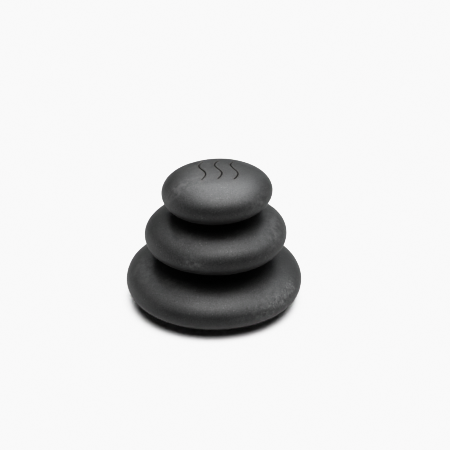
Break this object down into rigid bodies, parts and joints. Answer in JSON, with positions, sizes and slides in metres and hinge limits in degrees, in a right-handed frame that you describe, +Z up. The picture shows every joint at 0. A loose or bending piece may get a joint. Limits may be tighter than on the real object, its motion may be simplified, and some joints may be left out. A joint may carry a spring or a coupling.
{
  "type": "hot massage stone stack",
  "caption": "Smooth flattened black basalt pebbles for hot stone massage, stacked from large to small, each lifting off the one below",
  "frame": {"origin": "centre of the face that the large stone rests on", "axes": "+Z up through the stack; +X to the side that the two upper stones tip up towards; +Y to the back"},
  "size_m": [0.08, 0.079, 0.0651],
  "materials": {
    "basalt": "satin"
  },
  "bodies": {
    "large_stone": {"large_stone": "basalt"},
    "medium_stone": {"medium_stone": "basalt"},
    "small_stone": {"small_stone": "basalt"}
  },
  "joints": [
    {"name": "medium_lift", "type": "slide", "parent": "large_stone", "child": "medium_stone", "axis": [0, 0, 1], "range_m": [0, 0.04]},
    {"name": "small_lift", "type": "slide", "parent": "medium_stone", "child": "small_stone", "axis": [0, 0, 1], "range_m": [0, 0.04]}
  ]
}
